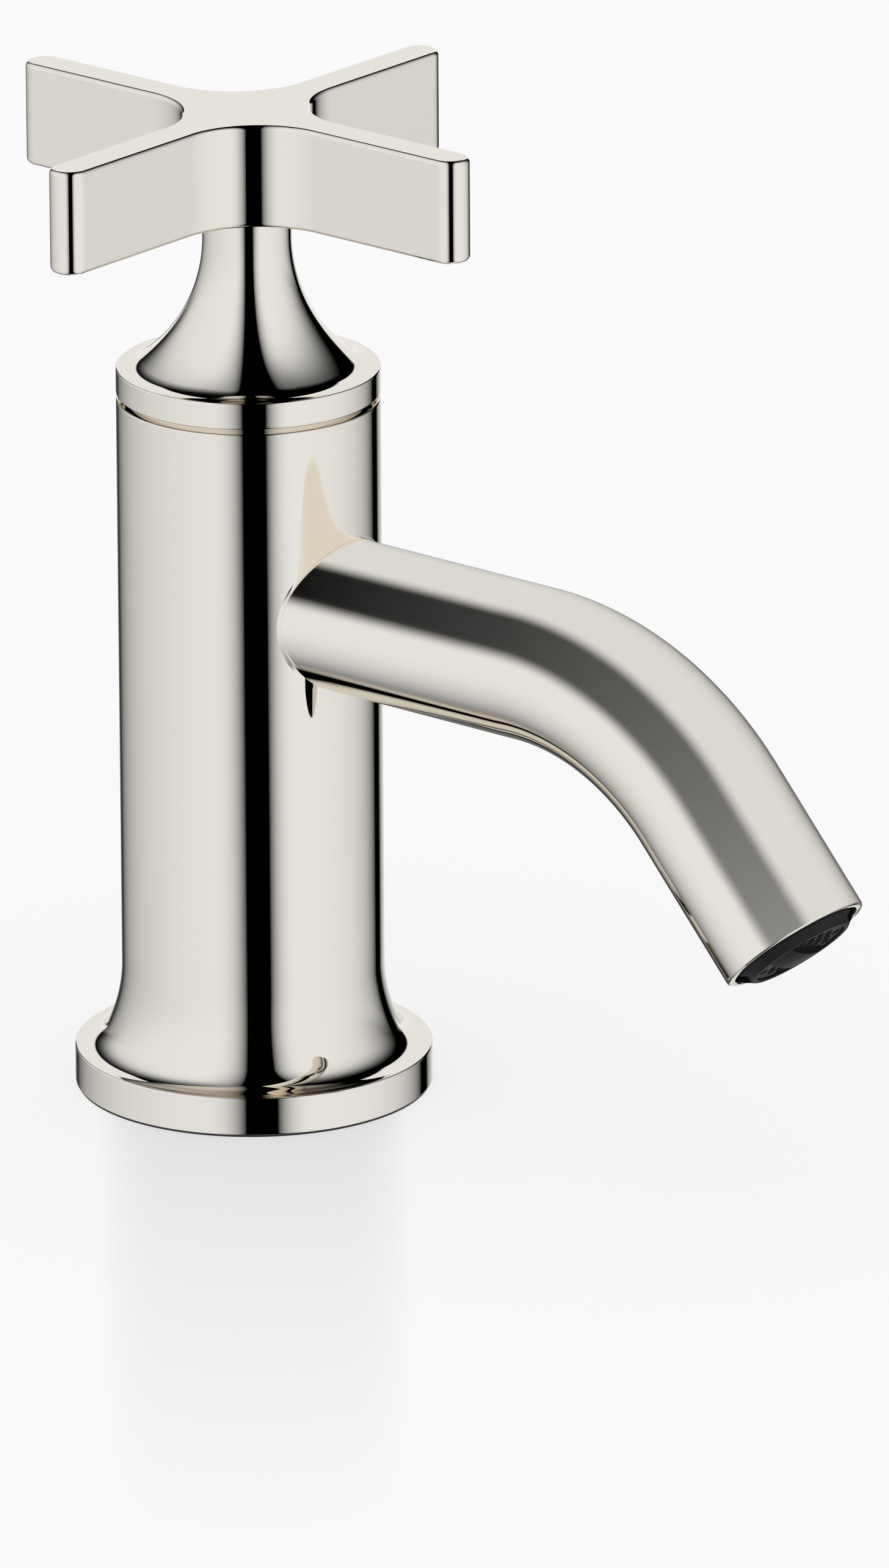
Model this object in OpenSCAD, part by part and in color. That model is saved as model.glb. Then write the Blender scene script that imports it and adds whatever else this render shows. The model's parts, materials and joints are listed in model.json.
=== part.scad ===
// Basin pillar tap with a cross handle, for one water supply.
// Z is up, the tap turns about Z, and the spout points to -Y.
// The origin is on the tap's axis, on the deck that the flange stands on. All sizes are in mm.

/* [Body] */
// Diameter of the round column
body_d = 40; // [38:0.5:46]
// Height of the column's top edge above the deck
body_h = 109.1; // [104:0.1:130]
// Width of the base flange beyond the column
flange_w = 7.25; // [6:0.25:12]
// Thickness of the flange's rim
flange_h = 5.95; // [4:0.05:8]
// Flat land left round the flange's top
flange_land = 0.75; // [0.5:0.05:1]
// Height of the flare from the flange to the column
flare_h = 13.15; // [11:0.05:20]
// Radius of the flare's tight lower curve
flare_r = 4.7; // [3:0.1:5]
// Radius on the turned edges
edge_r = 0.3; // [0.1:0.05:0.4]
// Wall of the column round its bores
body_wall = 3; // [2.6:0.1:3.4]
// Height of the hollow core in the column's base
core_h = 54; // [30:1:56]

/* [Spout] */
// Outside diameter of the spout tube
spout_d = 23.4; // [23:0.1:25]
// Wall of the spout tube
spout_wall = 2; // [1.5:0.1:2.4]
// Height of the spout's level run above the deck
spout_z = 78.3; // [76:0.1:80]
// Distance from the column's axis to the start of the bend
spout_run = 56.5; // [45:0.5:80]
// Radius of the bend, on the tube's centre line
spout_bend_r = 45.2; // [30:0.2:60]
// Angle that the spout bends down through
spout_bend = 48.2; // [35:0.2:60]
// Length of the straight nose after the bend
spout_nose = 24.8; // [20:0.2:40]
// Radius on the nose's outer edge
nose_edge_r = 0.6; // [0.2:0.1:0.8]
// Bore of the port between the valve chamber and the spout
port_d = 15; // [12:0.5:16]
// Length of the spigot's collar inside the spout
collar_l = 14; // [8:0.5:20]
// Wall of the spigot
spigot_wall = 1.4; // [1:0.1:2]

/* [Outlet] */
// Bore of the recess that holds the aerator
aerator_d = 20.9; // [20.4:0.1:21.4]
// Depth of that recess
aerator_l = 12; // [11:0.5:15]
// How far the aerator's sloping ring stands out of the nose
aerator_proud = 1.4; // [0.5:0.1:2]
// Angle that the aerator is turned to, from level, seen from below
aerator_turn = 46; // [0:1:90]
// Opening through the aerator's ring
screen_d = 14.9; // [13:0.1:15.2]
// How far the blank bar bulges out of the screen
bar_dome = 0.9; // [0.4:0.1:1.4]
// Width of the blank bar across the screen
bar_w = 4.8; // [3:0.2:7]
// Width across the flats of one honeycomb cell
cell_af = 1.45; // [1.2:0.05:2]
// Thickness of the honeycomb's walls
cell_wall = 0.35; // [0.25:0.05:0.5]
// Thickness of the flow regulator
regulator_t = 3; // [2:0.2:3.6]
// Thickness of the flat seal behind the aerator
aerator_seal_t = 1; // [0.8:0.1:1.5]

/* [Handle] */
// Tip to tip span of the cross
cross_span = 86.2; // [70:0.2:100]
// Width of each arm
arm_w = 6; // [5.6:0.1:8]
// Height of the arms
arm_h = 16; // [13:0.5:22]
// Radius of the hollow corners between the arms
arm_fillet = 13; // [10:0.5:18]
// Diameter of the neck under the cross
neck_d = 13.5; // [13:0.1:15]
// Height of the neck above the disc
neck_h = 24.3; // [23:0.1:30]
// Height of the neck's plain round top
neck_straight = 4; // [2:0.1:5]
// Radius of the bell's tight lower curve
bell_r = 5.2; // [4:0.1:6]
// Height of the handle disc's rim
disc_h = 4.1; // [3.8:0.1:6]
// Flat land left round the disc's top
disc_land = 0.5; // [0.3:0.05:0.8]
// Thickness of the disc above the gap sleeve
disc_floor = 1.3; // [1:0.1:1.8]
// Shadow gap between the column and the handle disc
handle_gap = 0.8; // [0.5:0.1:1.2]

/* [Headwork] */
// Depth of the pocket that the headwork's hexagon sits in
pocket_h = 16.8; // [15:0.2:18]
// Height from the valve seat to the spout's centre line
seat_drop = 12; // [11:0.5:13]
// Bore of the waterway under the seat
inlet_bore_d = 11; // [9:0.5:12]
// Clearance round the headwork's cage for the water
chamber_gap = 0.6; // [0.4:0.1:0.9]
// Outside diameter of the headwork's cage
cage_d = 18; // [17.4:0.1:18.2]
// Wall of the cage
cage_wall = 1.4; // [1:0.1:1.6]
// Length of the headwork's thread
headwork_thread_l = 6; // [4:0.5:7]
// Width across the flats of the headwork's hexagon
headwork_af = 24; // [22:1:26]
// Height of the hexagon and its flange
headwork_hex_h = 8; // [6:0.5:10]
// Diameter of the spindle
spindle_d = 9; // [8.4:0.1:9.4]
// Diameter over the spindle's splines
spline_d = 8; // [7:0.1:8.2]
// Number of splines
spline_n = 20; // [12:1:24]
// Thickness of each ceramic disc
ceramic_t = 3.2; // [2.5:0.1:3.6]
// Height of the rubber seat seal
seat_seal_h = 4.2; // [3:0.1:4.6]
// Angle of each of the two ports through a ceramic disc
port_angle = 80; // [60:1:86]
// Height of the spindle's driving head
head_h = 4; // [3:0.1:4.6]
// Thickness of the brake ring above that head
brake_t = 0.6; // [0.4:0.1:1]

/* [Fixing] */
// Outside diameter of the G 1/2 thread
thread_d = 20.955; // [20.955:0.001:20.955]
// Length of the threaded tail under the deck
tail_l = 55; // [54:1:80]
// Length of thread that screws up into the body
shank_in = 13.7; // [10:0.1:20]
// Length of the tail's end that takes the supply connector
connector_l = 22; // [14:0.5:24]
// Bore of the threaded shank
shank_bore_d = 11.5; // [10:0.1:12]
// Thickness of the deck that the tap is shown clamped to
deck_t = 18; // [8:0.5:20]
// Width across the flats of the backnut
nut_af = 30; // [27:1:36]
// Height of the backnut
nut_h = 8; // [5:0.5:8]
// Diameter of the clamping washers
washer_d = 46; // [40:1:52]
// Thickness of the rubber clamping washer
rubber_t = 3; // [2:0.5:3.5]
// Thickness of the metal clamping washer
metal_t = 1.5; // [1:0.1:2]
// Thickness of the base seal that shows under the flange
seal_show = 0.3; // [0.2:0.05:0.5]

/* [Hidden] */
$fn = 96;

nickel = "#cdc7bd";
brass = "#c8a24a";
steel = "#a9adb1";
black_plastic = "#232323";
rubber = "#2b2b2b";
white_plastic = "#e8e6df";
ceramic = "#f2efe6";

eps = 0.01;            // overlap that keeps a cut clean
slip = 0.05;           // radial clearance of parts that turn or slide
thread_slip = 0.03;    // radial clearance of parts screwed or pressed together
lap = 0.02;            // clearance between the lapped faces
hair = 0.01;           // step that keeps two round surfaces from meeting in a tangent
nose_lap = 0.1;        // how far the spout's nose reaches back into its bend

body_r = body_d / 2;
flange_r = body_r + flange_w;
flange_top = seal_show + flange_h;
flare_top = flange_top + flare_h;
pocket_r = body_r - body_wall;
shoulder_z = body_h - pocket_h;
seat_z = spout_z - seat_drop;
thread_r = thread_d / 2;
boss_r = thread_r + 3;
shank_top = seal_show + shank_in;
shank_seal_t = 2;
inlet_z = shank_top + shank_seal_t;
chamber_r = cage_d / 2 + chamber_gap;
chamber_top = shoulder_z - headwork_thread_l;
gland_w = 2.1;         // width of the groove for the headwork's O-ring
gland_h = 1.7;
rib_r = body_r + 1;    // inner radius of the base seal's rib
rib_w = 2.5;
rib_h = 1.5;

spout_r = spout_d / 2;
spout_bore_r = spout_r - spout_wall;
aerator_r = aerator_d / 2;
insert_r = screen_d / 2 + 0.45;
face_depth = 0.5;      // depth of the aerator's threaded sleeve in the nose
ledge_depth = 0.65;    // depth of the ledge that holds the screen
housing_l = aerator_l - aerator_seal_t - face_depth;
regulator_depth = 6.5;
port_r = port_d / 2;
spigot_r = port_r - thread_slip;
spigot_bore_r = spigot_r - spigot_wall;

disc_z = body_h + handle_gap;
disc_top = disc_z + disc_h;
recess_z = disc_top - disc_floor;
neck_top = disc_top + neck_h;
neck_r = neck_d / 2;
screw_seat_z = neck_top - 7.3;
cross_screw_r = 2.5;
screw_head_r = 4.25;
screw_head_h = 5;
screw_in = 9;          // thread engaged in the cross
dowel_r = 1;
dowel_at = 4.7;        // distance of the dowels from the axis
dowel_in = 3.5;        // length of a dowel in each part

cage_r = cage_d / 2;
cavity_r = cage_r - cage_wall;
lug_w = 3;
lug_r = cavity_r + 0.9;
fixed_z = seat_z + seat_seal_h;
moving_z = fixed_z + ceramic_t + lap;
head_z = moving_z + ceramic_t;
tongue_h = 1.2;
tongue_w = 3;
brake_z = head_z + head_h + lap;
cavity_top = brake_z + brake_t;
collar_top = shoulder_z + headwork_hex_h + 6.2;
clip_z = collar_top + 0.2;
clip_t = 0.8;
clip_r = spindle_d / 2 - 1.2;
spindle_r = spindle_d / 2;
spline_r = spline_d / 2;
tooth_r = 0.4;
spindle_top = disc_top + 4.5;
o_ring_r = 0.63;
o_ring_centre = spindle_r - o_ring_r + 0.03;
o_ring_zs = [shoulder_z - 1, shoulder_z + 3];

adapter_r = spline_r + 2;
adapter_z = disc_z + 1;
adapter_top = spindle_top + 2;
neck_bore_r = adapter_r + slip;
bore_step_z = adapter_top + 2.8;
neck_upper_r = screw_head_r + 0.35;
grub_r = 2;
grub_l = 6.8;
grub_z = disc_top + 2.5;
grub_groove = 0.5;
tip_screw_r = 2;
tip_head_r = 3.4;
tip_head_h = 2.2;
tip_in = 8;            // length of the adapter screw in the spindle

sleeve_r = body_r - 1.6;
sleeve_bore_r = sleeve_r - 3.2;
sleeve_in = 8.8;       // depth of the sleeve in the column
skirt_r = sleeve_r + 0.35;
glide_t = 0.6;
glide_z = recess_z - slip - glide_t;

nut_top = -deck_t - rubber_t - metal_t;
relief_z = -tail_l + connector_l;
relief_w = 1.5;
relief_d = 1;
socket_af = 12;
socket_h = 10;

// Radius of the wide curve that runs from a vertical wall into a tight curve of radius r
function wide_r(w, h, r) = (w * w + pow(h - r, 2) - r * r) / (2 * (w - r));

// Regular hexagon given across its flats
module hexagon(af) {
    circle(d = af / cos(30), $fn = 6);
}

// Part of a circle between two angles less than 180 degrees apart
module sector(centre, r, a0, a1) {
    reach = 2 * r / cos((a1 - a0) / 2);
    translate(centre)
        intersection() {
            circle(r);
            polygon([[0, 0], reach * [cos(a0), sin(a0)], reach * [cos(a1), sin(a1)]]);
        }
}

// Section of what is turned away beside a bell: its curve leaves a wall at x = r_in and a height
// of h, and lands level at x = r_out and a height of 0
module bell_section(r_in, r_out, h, r) {
    big = wide_r(r_out - r_in, h, r);
    c1 = [r_in + big, h];
    c2 = [r_out, r];
    join = atan2(c2.y - c1.y, c2.x - c1.x) + 360;
    sector(c1, big, 180, join);
    translate(c2)
        circle(r);
    polygon([c2, [r_out, 0], [c1.x + 1, 0], [c1.x + 1, h], c1]);
}

// Section of the sliver that is turned off an outside corner at a point, to the left and below
module corner_section(x, z, r, below = true) {
    translate([x, z])
        mirror([0, below ? 0 : 1])
            difference() {
                translate([-r, -r])
                    square(r + eps);
                translate([-r, -r])
                    circle(r);
            }
}

// Flat ring
module ring(r_out, r_in, h) {
    difference() {
        cylinder(r = r_out, h = h);
        translate([0, 0, -eps])
            cylinder(r = r_in, h = h + 2 * eps);
    }
}

// Ring of round section
module o_ring(r_centre, r_section) {
    rotate_extrude()
        translate([r_centre, 0])
            circle(r_section);
}

// Places its children with +Z along the spout's flow, at the end of the bend
module at_bend_end() {
    translate([0, -spout_run, spout_z - spout_bend_r])
        rotate([spout_bend, 0, 0])
            translate([0, 0, spout_bend_r])
                rotate([90, 0, 0])
                    children();
}

// Places its children with +Z out of the spout, at the centre of its end face
module at_outlet() {
    at_bend_end()
        translate([0, 0, spout_nose])
            children();
}

// Level run and bend of the spout as a solid rod
module spout_rod(r) {
    translate([0, 0, spout_z])
        rotate([90, 0, 0])
            cylinder(r = r, h = spout_run);
    translate([0, -spout_run, spout_z - spout_bend_r])
        rotate([180, -90, 0])
            rotate_extrude(angle = spout_bend)
                translate([spout_bend_r, 0])
                    circle(r);
}

// Turned outside of the flange, flare and column
module body_outside() {
    rotate_extrude()
        difference() {
            translate([0, seal_show])
                square([flange_r, body_h - seal_show]);
            translate([0, flange_top])
                bell_section(body_r, flange_r - flange_land, flare_h, flare_r);
            translate([flange_r - flange_land, flange_top])
                square([wide_r(flange_w - flange_land, flare_h, flare_r), body_h]);
            translate([body_r, flare_top])
                square([flange_r, body_h]);
            corner_section(flange_r, flange_top, edge_r);
            corner_section(flange_r, seal_show, edge_r, below = false);
            corner_section(body_r, body_h, edge_r);
        }
}

// Cast column with its flange, bored for the headwork, the water and the shank
module body_column() {
    color(nickel)
        difference() {
            body_outside();
            translate([0, 0, shoulder_z])
                cylinder(r = pocket_r, h = pocket_h + eps);
            translate([0, 0, chamber_top - eps])
                cylinder(r = thread_r, h = headwork_thread_l + 2 * eps);
            translate([0, 0, shoulder_z - gland_h])
                cylinder(r = thread_r + gland_w, h = gland_h + eps);
            translate([0, 0, seat_z])
                cylinder(r = chamber_r, h = chamber_top - seat_z + eps);
            translate([0, 0, inlet_z])
                cylinder(d = inlet_bore_d, h = seat_z - inlet_z + eps);
            translate([0, 0, -eps])
                cylinder(r = thread_r, h = inlet_z + 2 * eps);
            translate([0, 0, spout_z])
                rotate([90, 0, 0])
                    cylinder(r = port_r, h = body_d);
            ring_core();
            translate([0, 0, -eps])
                ring(rib_r + rib_w, rib_r, seal_show + rib_h + 2 * eps);
        }
}

// Hollow that the casting's core leaves between the wall and the thread's boss
module ring_core() {
    translate([0, 0, -eps])
        ring(pocket_r, boss_r, core_h);
}

// Rubber seal under the flange, with a rib that holds it in its groove
module base_seal() {
    color(rubber) {
        ring(flange_r - edge_r, pocket_r + 1.5, seal_show);
        translate([0, 0, seal_show - eps])
            ring(rib_r + rib_w - slip, rib_r + slip, rib_h);
    }
}

// Bent spout tube, cut to a saddle where it is brazed to the column
module spout_tube() {
    color(nickel)
        difference() {
            union() {
                spout_rod(spout_r);
                at_bend_end()
                    rotate_extrude()
                        difference() {
                            translate([0, -nose_lap])
                                square([spout_r + hair, spout_nose + nose_lap]);
                            corner_section(spout_r + hair, spout_nose, nose_edge_r);
                        }
            }
            spout_rod(spout_bore_r);
            at_bend_end()
                translate([0, 0, -nose_lap])
                    cylinder(r = spout_bore_r + 2 * hair, h = spout_nose + nose_lap + eps);
            at_outlet()
                translate([0, 0, -aerator_l])
                    cylinder(r = aerator_r, h = aerator_l + eps);
            translate([0, 0, spout_z - spout_d])
                cylinder(r = body_r + lap, h = 2 * spout_d);
        }
}

// Bush that carries the water from the column's port into the spout
module spout_spigot() {
    nose_y = chamber_r + 0.4;
    collar_y = body_r + 0.3;
    color(brass)
        translate([0, 0, spout_z])
            rotate([90, 0, 0])
                difference() {
                    union() {
                        translate([0, 0, nose_y])
                            cylinder(r = spigot_r, h = collar_y - nose_y + eps);
                        translate([0, 0, collar_y])
                            cylinder(r = spout_bore_r - thread_slip, h = collar_l);
                    }
                    cylinder(r = spigot_bore_r, h = collar_y + collar_l + 1);
                }
}

// Aerator's body: a screwed-in sleeve whose sloping ring stands out of the nose between two key slots
module aerator_housing() {
    ring_r = aerator_r - 0.35;
    lip_r = screen_d / 2 + 0.75;
    slot_r = insert_r + 0.6;
    slot_w = 6.6;
    slot_depth = 1.4;
    color(black_plastic)
        at_outlet()
            rotate(aerator_turn)
                difference() {
                    rotate_extrude()
                        difference() {
                            polygon([[screen_d / 2, -housing_l - face_depth], [aerator_r - slip, -housing_l - face_depth],
                                     [aerator_r - slip, -face_depth], [ring_r, -face_depth],
                                     [ring_r, 0.1], [lip_r, aerator_proud], [screen_d / 2, aerator_proud]]);
                            translate([0, -aerator_l])
                                square([insert_r, aerator_l - ledge_depth]);
                        }
                    for (side = [0, 180])
                        rotate(side)
                            translate([slot_r, -slot_w / 2, -slot_depth])
                                cube([aerator_r, slot_w, slot_depth + aerator_proud + 1]);
                }
}

// Cell centres of the honeycomb, on both sides of the blank bar
function cell_centres() =
    let (pitch = cell_af + cell_wall, row = pitch * sqrt(3) / 2, reach = screen_d / 2, n = ceil(reach / row))
    [for (i = [-n:n], j = [-n:n])
        let (p = [(i + (j % 2 == 0 ? 0 : 0.5)) * pitch, j * row])
        if (norm(p) < reach - cell_af * 0.75 && abs(p.x) > (bar_w + cell_af) / 2 + 0.15) p];

// Honeycomb screen behind the ring, with a plain bar that bulges across its middle
module outlet_screen() {
    screen_r = screen_d / 2 - slip;
    face_z = aerator_proud - 0.3;
    back_z = -ledge_depth - slip;
    bar_r = screen_r - 0.3;
    dome_r = (bar_r * bar_r + bar_dome * bar_dome) / (2 * bar_dome);
    color(black_plastic)
        at_outlet()
            rotate(aerator_turn)
                difference() {
                    union() {
                        translate([0, 0, back_z - 1.2])
                            cylinder(r = insert_r - slip, h = 1.2);
                        translate([0, 0, back_z - eps])
                            cylinder(r = screen_r, h = face_z - back_z + eps);
                        intersection() {
                            translate([-bar_w / 2, -screen_r, face_z - 0.1])
                                cube([bar_w, 2 * screen_r, bar_dome + 1]);
                            cylinder(r = bar_r, h = aerator_proud + bar_dome + 1);
                            translate([0, 0, face_z + bar_dome - dome_r])
                                sphere(dome_r);
                        }
                    }
                    for (p = cell_centres())
                        translate([p.x, p.y, -3])
                            linear_extrude(aerator_proud + 4)
                                rotate(30)
                                    hexagon(cell_af);
                }
}

// Places its children at a depth behind the spout's end face
module behind_outlet(depth) {
    at_outlet()
        translate([0, 0, -depth])
            children();
}

// Plastic disc with a ring of metering holes
module flow_regulator() {
    color(white_plastic)
        behind_outlet(regulator_depth)
            difference() {
                cylinder(r = insert_r - slip, h = regulator_t);
                for (i = [0:11])
                    rotate(i * 30)
                        translate([insert_r - 2.4, 0, -eps])
                            cylinder(r = 0.6, h = regulator_t + 2 * eps);
                translate([0, 0, -eps])
                    rotate_extrude()
                        translate([insert_r - 4.9, 0])
                            circle(0.9);
            }
}

// Rubber ring that narrows the metering gap as the pressure rises
module regulator_ring() {
    color(rubber)
        behind_outlet(regulator_depth)
            o_ring(insert_r - 4.9, 0.85);
}

// Perforated strainer at the aerator's inlet
module inlet_strainer() {
    color(white_plastic)
        behind_outlet(aerator_l - aerator_seal_t)
            difference() {
                cylinder(r = insert_r - slip, h = 1.2);
                for (k = [1:3])
                    for (i = [0:6 * k - 1])
                        rotate(i * 60 / k)
                            translate([k * insert_r / 4, 0, -eps])
                                cylinder(r = 0.5, h = 1.3);
            }
}

// Flat rubber seal between the aerator and its recess
module aerator_seal() {
    color(rubber)
        behind_outlet(aerator_l)
            ring(aerator_r - slip, insert_r - 0.4, aerator_seal_t);
}

// Brass headwork: cage, thread, hexagon and the guide for the spindle
module headwork_body() {
    window_z = moving_z - 0.4;
    window_h = head_z + 2 - window_z;
    color(brass)
        difference() {
            union() {
                translate([0, 0, seat_z + 0.8])
                    cylinder(r = cage_r, h = chamber_top - seat_z - 0.8 + eps);
                translate([0, 0, chamber_top])
                    cylinder(r = thread_r - thread_slip, h = headwork_thread_l + eps);
                translate([0, 0, shoulder_z])
                    cylinder(d = headwork_af / cos(30), h = 1.5);
                translate([0, 0, shoulder_z + 1.5 - eps])
                    linear_extrude(headwork_hex_h - 1.5)
                        hexagon(headwork_af);
                translate([0, 0, shoulder_z + headwork_hex_h - 2 * eps])
                    cylinder(r = spindle_r + 2.6, h = collar_top - shoulder_z - headwork_hex_h + 2 * eps);
            }
            translate([0, 0, seat_z])
                cylinder(r = cavity_r, h = cavity_top - seat_z);
            translate([0, 0, seat_z])
                cylinder(r = spindle_r + slip, h = collar_top - seat_z + 1);
            translate([-lug_r - slip, -lug_w / 2 - slip, seat_z])
                cube([2 * (lug_r + slip), lug_w + 2 * slip, fixed_z + ceramic_t - seat_z]);
            for (side = [0, 180])
                rotate(side)
                    translate([-tongue_w * 1.6, cavity_r - 1, window_z])
                        cube([tongue_w * 3.2, cage_r, window_h]);
        }
}

// O-ring under the headwork's flange
module headwork_o_ring() {
    section_r = 0.8;
    color(rubber)
        translate([0, 0, shoulder_z - gland_h / 2])
            o_ring(thread_r + gland_w / 2 - 0.05, section_r);
}

// Rubber ring that seals the ceramic discs on the valve seat
module seat_seal() {
    color(rubber)
        translate([0, 0, seat_z])
            ring(cavity_r - slip, cavity_r - 2.8, seat_seal_h);
}

// Two opposite ports of a ceramic disc, as a flat shape
module disc_ports() {
    for (side = [0, 180])
        rotate(side)
            difference() {
                sector([0, 0], cavity_r - 1.2, 90 - port_angle / 2, 90 + port_angle / 2);
                circle(1.6);
            }
}

// Lower ceramic disc, keyed into the cage by two lugs
module fixed_disc() {
    color(ceramic)
        translate([0, 0, fixed_z])
            difference() {
                union() {
                    cylinder(r = cavity_r - slip, h = ceramic_t);
                    intersection() {
                        cylinder(r = lug_r, h = ceramic_t);
                        translate([-lug_r, -lug_w / 2, 0])
                            cube([2 * lug_r, lug_w, ceramic_t]);
                    }
                }
                translate([0, 0, -eps])
                    linear_extrude(ceramic_t + 2 * eps)
                        disc_ports();
            }
}

// Upper ceramic disc, turned by the spindle's tongue; its ports are a quarter turn away when shut
module moving_disc() {
    color(ceramic)
        translate([0, 0, moving_z])
            rotate(90)
                difference() {
                    cylinder(r = cavity_r - slip, h = ceramic_t);
                    translate([0, 0, -eps])
                        linear_extrude(ceramic_t + 2 * eps)
                            disc_ports();
                    translate([-tongue_w / 2 - slip, -cavity_r, ceramic_t - tongue_h - slip])
                        cube([tongue_w + 2 * slip, 2 * cavity_r, tongue_h + 1]);
                }
}

// Splined section, grown outwards by a clearance
module spline_section(grow = 0) {
    difference() {
        circle(spline_r + grow);
        for (i = [0:spline_n - 1])
            rotate(i * 360 / spline_n)
                translate([spline_r + grow, 0])
                    circle(tooth_r);
    }
}

// Spindle with its driving head, O-ring grooves, clip groove and splined top
module spindle() {
    shaft_top = clip_z + clip_t + 0.4;
    color(brass)
        difference() {
            union() {
                translate([0, 0, head_z])
                    cylinder(r = cavity_r - slip, h = head_h);
                intersection() {
                    translate([0, 0, head_z - tongue_h])
                        cylinder(r = cavity_r - 0.6, h = tongue_h + eps);
                    rotate(90)
                        translate([-tongue_w / 2, -cavity_r, head_z - tongue_h])
                            cube([tongue_w, 2 * cavity_r, tongue_h + eps]);
                }
                translate([0, 0, head_z + head_h - eps])
                    cylinder(r = spindle_r, h = shaft_top - head_z - head_h + eps);
                translate([0, 0, shaft_top - eps])
                    linear_extrude(spindle_top - shaft_top + eps)
                        spline_section();
            }
            for (z = o_ring_zs)
                translate([0, 0, z - o_ring_r - slip])
                    ring(spindle_r + 1, o_ring_centre - o_ring_r - 0.02, 2 * (o_ring_r + slip));
            translate([0, 0, clip_z])
                ring(spindle_r + 1, clip_r, clip_t);
            translate([0, 0, spindle_top - tip_in - 1])
                cylinder(r = tip_screw_r, h = tip_in + 2);
        }
}

// Two O-rings on the spindle
module spindle_o_rings() {
    color(rubber)
        for (z = o_ring_zs)
            translate([0, 0, z])
                o_ring(o_ring_centre, o_ring_r);
}

// Plastic brake ring between the spindle's head and the headwork
module brake_ring() {
    color(white_plastic)
        translate([0, 0, brake_z])
            ring(cavity_r - slip, spindle_r + slip, brake_t);
}

// Open spring clip that keeps the spindle from falling into the body
module circlip() {
    mouth = 2 * clip_r * 0.8;
    clearance = 0.03;
    color(steel)
        translate([0, 0, clip_z + clearance])
            difference() {
                cylinder(r = spindle_r + 1.6, h = clip_t - 2 * clearance);
                translate([0, 0, -eps])
                    cylinder(r = clip_r + clearance, h = clip_t);
                translate([-mouth / 2, 0, -eps])
                    cube([mouth, spindle_r + 2, clip_t]);
            }
}

// Polished sleeve that shows in the shadow gap and guides the handle disc
module gap_sleeve() {
    color(nickel)
        difference() {
            union() {
                translate([0, 0, body_h - sleeve_in])
                    cylinder(r = pocket_r - thread_slip, h = sleeve_in + eps);
                translate([0, 0, body_h])
                    cylinder(r = sleeve_r, h = glide_z - body_h);
            }
            translate([0, 0, body_h - sleeve_in - eps])
                cylinder(r = sleeve_bore_r, h = glide_z - body_h + sleeve_in + 2 * eps);
        }
}

// Plastic ring that the handle disc glides on
module glide_ring() {
    color(white_plastic)
        translate([0, 0, glide_z])
            ring(sleeve_r - 0.2, sleeve_bore_r + 0.4, glide_t);
}

// Brass insert that joins the handle to the spindle's splines
module spline_adapter() {
    color(brass)
        difference() {
            translate([0, 0, adapter_z])
                cylinder(r = adapter_r, h = adapter_top - adapter_z);
            translate([0, 0, adapter_z - eps])
                linear_extrude(spindle_top + 0.1 - adapter_z)
                    spline_section(grow = slip);
            translate([0, 0, spindle_top])
                cylinder(r = tip_screw_r + 0.2, h = 3);
            translate([0, 0, grub_z - grub_r - 0.2])
                ring(adapter_r + 1, adapter_r - grub_groove, 2 * grub_r + 0.4);
        }
}

// Socket screw: a round head with a hexagon socket on a plain shank, head downwards
module socket_screw(r, l, head_r, head_h, socket) {
    difference() {
        union() {
            translate([0, 0, -head_h])
                cylinder(r = head_r, h = head_h);
            translate([0, 0, -eps])
                cylinder(r = r, h = l + eps);
        }
        translate([0, 0, -head_h - eps])
            linear_extrude(head_h * 0.6)
                hexagon(socket);
    }
}

// Screw that holds the adapter down on the spindle
module adapter_screw() {
    color(steel)
        translate([0, 0, adapter_top])
            rotate([180, 0, 0])
                socket_screw(tip_screw_r - thread_slip, tip_in, tip_head_r, tip_head_h, 2.5);
}

// Grub screw at the back of the bell that grips the adapter
module grub_screw() {
    color(steel)
        translate([0, adapter_r - grub_groove + slip, grub_z])
            rotate([-90, 0, 0])
                difference() {
                    cylinder(r = grub_r - thread_slip, h = grub_l);
                    translate([0, 0, grub_l - 2])
                        linear_extrude(2 + eps)
                            hexagon(2);
                }
}

// Handle's bell: a disc that flares up into the round neck, one turned piece
module handle_neck() {
    color(nickel)
        difference() {
            rotate_extrude()
                difference() {
                    translate([0, disc_z])
                        square([body_r, neck_top - disc_z]);
                    translate([0, disc_top])
                        bell_section(neck_r, body_r - disc_land, neck_h - neck_straight, bell_r);
                    translate([body_r - disc_land, disc_top])
                        square([body_d, neck_h]);
                    translate([neck_r, neck_top - neck_straight])
                        square([body_d, neck_straight]);
                    corner_section(body_r, disc_top, edge_r);
                    corner_section(body_r, disc_z, edge_r, below = false);
                }
            translate([0, 0, disc_z - eps])
                cylinder(r = skirt_r, h = recess_z - disc_z + eps);
            translate([0, 0, disc_z])
                cylinder(r = neck_bore_r, h = bore_step_z - disc_z);
            translate([0, 0, disc_z])
                cylinder(r = neck_upper_r, h = screw_seat_z - disc_z);
            translate([0, 0, disc_z])
                cylinder(r = cross_screw_r + 0.25, h = neck_top - disc_z + 1);
            dowel_rods(dowel_r + thread_slip, 0.1);
            translate([0, 0, grub_z])
                rotate([-90, 0, 0])
                    cylinder(r = grub_r, h = body_r);
        }
}

// Outline of the cross seen from above
module cross_plan() {
    half = arm_w / 2;
    for (turn = [0, 90])
        rotate(turn) {
            square([cross_span - arm_w, arm_w], center = true);
            for (end = [-1, 1])
                translate([end * (cross_span - arm_w) / 2, 0])
                    circle(half);
        }
    for (turn = [0:90:270])
        rotate(turn)
            difference() {
                translate([half - eps, half - eps])
                    square(arm_fillet + eps);
                translate([half + arm_fillet, half + arm_fillet])
                    circle(arm_fillet);
            }
}

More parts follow.
